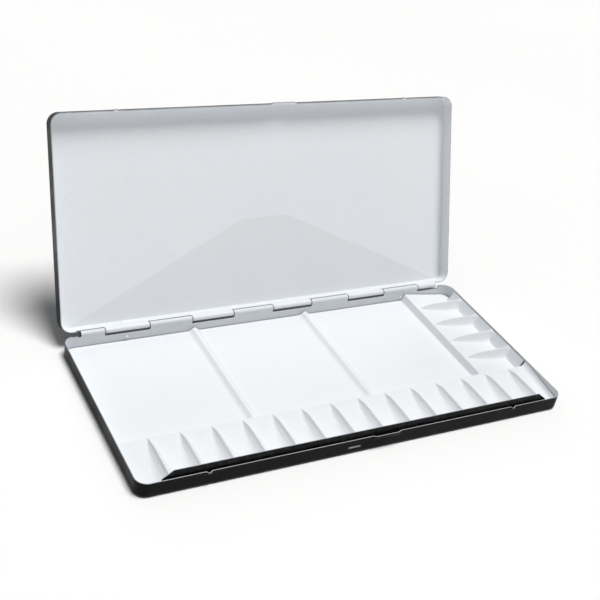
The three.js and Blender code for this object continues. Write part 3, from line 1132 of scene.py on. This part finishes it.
    def deep_lines(self) -> np.ndarray:
        """Grid lines along Y, from the back to the tongue's bend."""
        beside = np.array([0.34, 0.5, 0.7, 1.4, 2.1, 2.6, 3.3, 4.6])
        offsets = np.concatenate([-beside[::-1], [0], beside])
        start, end = self.flange_span
        marks = [self.back, self.front + self.tongue_bend, self.crest_y]
        marks += [self.crest_y + self.crest_step, start, end, start - 0.7, end + 0.7]
        fills = [centre + offsets for centre in self.column_dividers]
        before = np.array([-8, -6, -4.5, -3.2, -2.2, -1.4, -0.8, -0.4])
        behind = np.array([0.4, 0.9, 1.4, 2.5, 3.2])
        fills += [self.crest_y + before, self.crest_y + behind]
        fills += [self.back - np.array([0.12, 0.3, 0.55, 0.85, 1.25, 2.0, 3.4, 5.2])]
        fills += [self.front + np.array([1.1, 2.0, 3.3, 5.0])]
        lines = grid_lines(marks, np.concatenate(fills), self.line_gap)
        return grid_lines(list(lines), np.linspace(self.front, self.back, 42), 1.8)[::-1]

    def tuck_corners(self, x: np.ndarray, y: np.ndarray) -> tuple[np.ndarray, np.ndarray]:
        """Draws the square corners of the plan in, so that square rings become arcs.

        Args:
            x: places along the length.
            y: places across the width.

        Returns:
            The same places with round corners.
        """
        end_y = np.where(y > 0, self.back, -self.front + self.front_reach)
        dx = np.abs(x) - (self.half_x - self.corner)
        dy = np.abs(y) - (end_y - self.corner)
        inside = (dx > 0) & (dy > 0) & (np.abs(x) > self.tongue_half)
        dx, dy = np.maximum(dx, 1e-9), np.maximum(dy, 1e-9)
        shrink = np.where(inside, np.maximum(dx, dy) / np.hypot(dx, dy), 1.0)
        new_x = np.sign(x) * (self.half_x - self.corner + dx * shrink)
        new_y = np.sign(y) * (end_y - self.corner + dy * shrink)
        return np.where(inside, new_x, x), np.where(inside, new_y, y)

    def surface(self) -> SheetMesh:
        """Works out the tray's upper face as one grid.

        Rows run from the back to the front, round the tongue's bend and up the tongue. Columns run
        from left to right and, past the flange's foot, up the flange or level to the right edge.

        Returns:
            The surface in the frame's coordinates.
        """
        xs, ys = self.across_lines(), self.deep_lines()
        bend = np.linspace(0, math.pi / 2, 6)[1:]
        climb = np.array([0.08, 0.2, 0.36, 0.55, 0.75, 0.9, 1.0])
        beyond = np.array([0.12, 0.3, 0.5, 0.62, 0.74, 0.84, 0.92, 0.97, 1.0])
        gx = np.concatenate([xs, np.full(len(beyond), self.foot_x)])
        past = np.concatenate([np.zeros(len(xs)), beyond])
        deep = len(ys)
        rows = deep + len(bend) + len(climb)
        x = np.broadcast_to(gx, (rows, len(gx))).copy()
        y = np.empty_like(x)
        y[:deep] = ys[:, None]
        y[deep:] = self.front + self.tongue_bend
        flat = self.half_x - self.foot_x
        start, end = self.flange_span
        leaning = (ys > start - 1e-6) & (ys < end + 1e-6)
        leaning = np.concatenate([leaning, np.zeros(rows - deep, bool)])[:, None]
        reach = np.where(leaning, self.flange_lean, flat)
        x += past * reach
        tongued = np.abs(x) <= self.tongue_half + 1e-6
        level_share = np.concatenate([bend / (np.pi / 2), np.ones(len(climb))])[:, None]
        outward = (self.tongue_bend + self.front_reach) * level_share
        y[deep:] -= np.where(tongued[deep:], 0, outward)
        x, y = self.tuck_corners(x, y)
        z = self.height(x, y)
        foot = self.height(np.full_like(x, self.foot_x), y)
        rise = past**1.15
        z = np.where(leaning & (past > 0), foot + (self.flange_top - foot) * rise, z)
        root = z[deep : deep + 1]
        turned = root + self.tongue_bend * (1 - np.cos(bend))[:, None]
        up = root + self.tongue_bend
        climbed = up + (self.tongue_top - up) * climb[:, None]
        stand = np.concatenate([turned, climbed])
        z[deep:] = np.where(tongued[deep:], stand, z[deep:])
        forward = self.tongue_bend * np.concatenate([np.sin(bend), np.ones(len(climb))])
        bent_y = self.front + self.tongue_bend - forward[:, None]
        y[deep:] = np.where(tongued[deep:], bent_y, y[deep:])
        limit = self.tongue_half - self.tongue_chamfer * np.clip(
            (z - self.tongue_shoulder) / (self.tongue_top - self.tongue_shoulder), 0, 1
        )
        inner = self.tongue_straight
        narrow = inner + (np.abs(x) - inner) * (limit - inner) / (self.tongue_half - inner)
        standing = tongued & (np.arange(rows) >= deep)[:, None] & (np.abs(x) > inner)
        x = np.where(standing, np.sign(x) * narrow, x)
        keep = np.ones((rows - 1, len(gx) - 1), bool)
        stands = tongued[deep, :-1] & tongued[deep, 1:]
        keep[deep + len(bend) - 1 :, ~stands] = False
        keep[deep - 1 : deep + len(bend) - 1, tongued[deep, :-1] != tongued[deep, 1:]] = False
        change = leaning[:-1, 0] != leaning[1:, 0]
        keep[np.ix_(change, past[1:] > 0)] = False
        quads = grid_quads(rows, len(gx), False, keep)[:, ::-1]
        grid = np.stack([x, y, z], axis=-1).reshape(-1, 3)
        rub = np.exp(-np.abs(z - self.tongue_top) / 0.6) + 0.5 * smooth_step(z, 6.9, 7.5)
        mesh = SheetMesh()
        mesh.add(grid, quads, np.clip(rub, 0, 1).reshape(-1))
        return mesh

    def tab(self) -> tuple[np.ndarray, list[np.ndarray]]:
        """The tab that passes through the front wall's slot.

        Its section is a superellipse, |x/a|^6 + |z/b|^2.5 = 1, carried along Y, drawn in at its
        front end and closed at both ends.

        Returns:
            Points and faces.
        """
        around = np.linspace(0, 2 * np.pi, 41)[:-1]
        wide, thick = self.tab_size
        section_x = wide * np.sign(np.cos(around)) * np.abs(np.cos(around)) ** (1 / 3)
        section_z = thick * np.sign(np.sin(around)) * np.abs(np.sin(around)) ** 0.8
        ys = np.array(self.tab_rows)[:, None]
        grow = np.array([1.0, 1.0, 1.0, 0.95, 0.84])[:, None]
        x = self.tab_x + section_x * (0.75 + 0.25 * grow)
        z = self.tab_z + section_z * grow
        sides = np.stack([x, np.broadcast_to(ys, x.shape), z], axis=-1).reshape(-1, 3)
        ends = np.array([[self.tab_x, ys[0, 0], self.tab_z], [self.tab_x, ys[-1, 0], self.tab_z]])
        count = len(around)
        keep = np.ones((len(ys) - 1, count), bool)
        quads = grid_quads(len(ys), count, True, keep)
        here, after = np.arange(count), (np.arange(count) + 1) % count
        last = (len(ys) - 1) * count
        back = np.stack([np.full(count, len(sides)), after, here], axis=1)
        front = np.stack([np.full(count, len(sides) + 1), last + here, last + after], axis=1)
        return np.concatenate([sides, ends]), [*quads, *back, *front]

    def build(self, finishes: Finishes) -> bpy.types.Object:
        """Makes the tray and puts it in place of its CAD node.

        Args:
            finishes: the box's materials.

        Returns:
            The new piece.
        """
        materials = [finishes.white, finishes.black, finishes.edge]
        piece = self.surface().build("well_insert", materials)
        thicken(piece, self.sheet, self.cut_round)
        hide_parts("well_tray")
        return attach(piece, Body.BASE.value)

    def build_tab(self, finishes: Finishes) -> bpy.types.Object:
        """Makes the tray's tab.

        Args:
            finishes: the box's materials.

        Returns:
            The new piece.
        """
        mesh = SheetMesh()
        points, faces = self.tab()
        mesh.add(points, faces, 0.3)
        piece = mesh.build("tray_tab", [finishes.edge])
        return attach(piece, Body.BASE.value)


@dataclass
class HingeWire:
    """The wire that every knuckle turns on, kept as the CAD has it."""

    node: str = "hinge_wire"

    def dress(self, finishes: Finishes) -> bpy.types.Object:
        """Gives the CAD node its drawn-steel finish.

        Args:
            finishes: the box's materials.

        Returns:
            The CAD node's object.
        """
        wire = frame["nodes"][self.node]
        for place in wire.material_slots:
            place.material = finishes.wire
        return wire


# ---- Studio --------------------------------------------------------------------------------------


@dataclass
class Studio:
    """Pale floor, soft light and the camera."""

    lens: float = 65.59
    sensor: float = 36.0
    shift: tuple[float, float] = (0.0003, -0.066)
    stand: tuple[float, float, float] = (-276.57, -383.05, 347.57)
    azimuth: float = -33.19
    elevation: float = 30.416
    roll: float = 11.553
    floor_half: float = 16.0
    floor_drop: float = 0.0003
    sky: tuple[float, float, float] = (0.96, 0.98, 1.0)
    sky_range: tuple[float, float, float, float] = (0.0, 0.85, 0.07, 0.19)
    overhead_way: tuple[float, float, float] = (0.62, -0.52, 4.0)
    overhead_power: float = 2.69
    overhead_width: float = 26.0
    backdrop_start: float = 12.0
    backdrop_height: float = 2.6

    def camera(self) -> bpy.types.Object:
        """Makes the camera.

        Its back points along (sin az cos el, -cos az cos el, sin el); its right and up vectors are
        then turned by the roll.

        Returns:
            The camera.
        """
        az, el, roll = (math.radians(a) for a in (self.azimuth, self.elevation, self.roll))
        back = Vector((math.sin(az) * math.cos(el), -math.cos(az) * math.cos(el), math.sin(el)))
        right = (-back).cross(Vector((0, 0, 1))).normalized()
        up = right.cross(-back)
        turned_right = right * math.cos(roll) + up * math.sin(roll)
        turned_up = up * math.cos(roll) - right * math.sin(roll)
        data = bpy.data.cameras.new("studio_camera")
        data.lens, data.sensor_width = self.lens, self.sensor
        data.shift_x, data.shift_y = self.shift
        data.clip_start, data.clip_end = 0.01, 60.0
        camera = bpy.data.objects.new("studio_camera", data)
        axes = Matrix((turned_right, turned_up, back)).transposed().to_4x4()
        camera.matrix_world = Matrix.Translation(Vector(self.stand) * MM) @ axes
        bpy.context.scene.collection.objects.link(camera)
        bpy.context.scene.camera = camera
        return camera

    def floor(self, finishes: Finishes) -> bpy.types.Object:
        """Makes the floor, flat round the box and rising far away.

        Past the start of the backdrop, its height is the height of the backdrop times t^2, where t
        runs from 0 to 1 at the floor's edge.

        Args:
            finishes: the materials.

        Returns:
            The floor.
        """
        rise = np.linspace(self.backdrop_start, self.floor_half, 7)
        side = np.concatenate([-rise[::-1], [-6, -2, 0, 2, 6], rise])
        x, y = np.meshgrid(side, side)
        far = np.maximum(np.abs(x), np.abs(y)) - self.backdrop_start
        share = np.clip(far / (self.floor_half - self.backdrop_start), 0, 1)
        z = self.backdrop_height * share**2 - self.floor_drop
        mesh = SheetMesh()
        keep = np.ones((len(side) - 1, len(side) - 1), bool)
        grid = np.stack([x, y, z], axis=-1).reshape(-1, 3) / MM
        mesh.add(grid, grid_quads(len(side), len(side), False, keep))
        floor = mesh.build("studio_floor", [finishes.floor])
        return floor

    def overhead(self) -> bpy.types.Object:
        """Makes the wide overhead light, as a far and broad source that lights all places alike.

        Returns:
            The light.
        """
        data = bpy.data.lights.new("overhead_light", "SUN")
        data.energy, data.angle = self.overhead_power, math.radians(self.overhead_width)
        data.color = (1.0, 0.995, 0.985)
        light = bpy.data.objects.new("overhead_light", data)
        light.rotation_mode = "QUATERNION"
        light.rotation_quaternion = (-Vector(self.overhead_way)).to_track_quat("-Z", "Y")
        light.location = Vector(self.overhead_way)
        bpy.context.scene.collection.objects.link(light)
        return light

    def lights(self) -> None:
        """Makes the overhead light and sets the pale surroundings."""
        self.overhead()
        world = bpy.data.worlds.new("studio_world")
        world.use_nodes = True
        tree = world.node_tree
        background = tree.nodes["Background"]
        background.inputs["Color"].default_value = (*self.sky, 1)
        direction = tree.nodes.new("ShaderNodeTexCoord").outputs["Generated"]
        parts = tree.nodes.new("ShaderNodeSeparateXYZ")
        tree.links.new(direction, parts.inputs[0])
        level = tree.nodes.new("ShaderNodeMapRange")
        tree.links.new(parts.outputs["Z"], level.inputs["Value"])
        for name, value in zip(("From Min", "From Max", "To Min", "To Max"), self.sky_range):
            level.inputs[name].default_value = value
        tree.links.new(level.outputs["Result"], background.inputs["Strength"])
        bpy.context.scene.world = world
        bpy.context.scene.view_settings.view_transform = "Standard"

    def build(self, finishes: Finishes) -> None:
        """Sets up floor, lights and camera.

        Args:
            finishes: the materials.
        """
        self.floor(finishes)
        self.lights()
        self.camera()


def main() -> None:
    """Builds the pieces in order and reports each one."""
    logging.basicConfig(level=logging.INFO, format="%(message)s")
    finishes = Finishes()
    Studio().build(finishes)
    lowest, _ = next(j["range_deg"] for j in frame["joints"] if j["name"] == "lid_hinge")
    tray = WellTray()
    pieces = [
        BasePan().build(finishes),
        tray.build(finishes),
        tray.build_tab(finishes),
        LidPan(open_angle=abs(lowest)).build(finishes),
        HingeWire().dress(finishes),
    ]
    for piece in pieces:
        LOG.info("%s: %d faces", piece.name, len(piece.data.polygons))


if __name__ == "__main__":
    main()
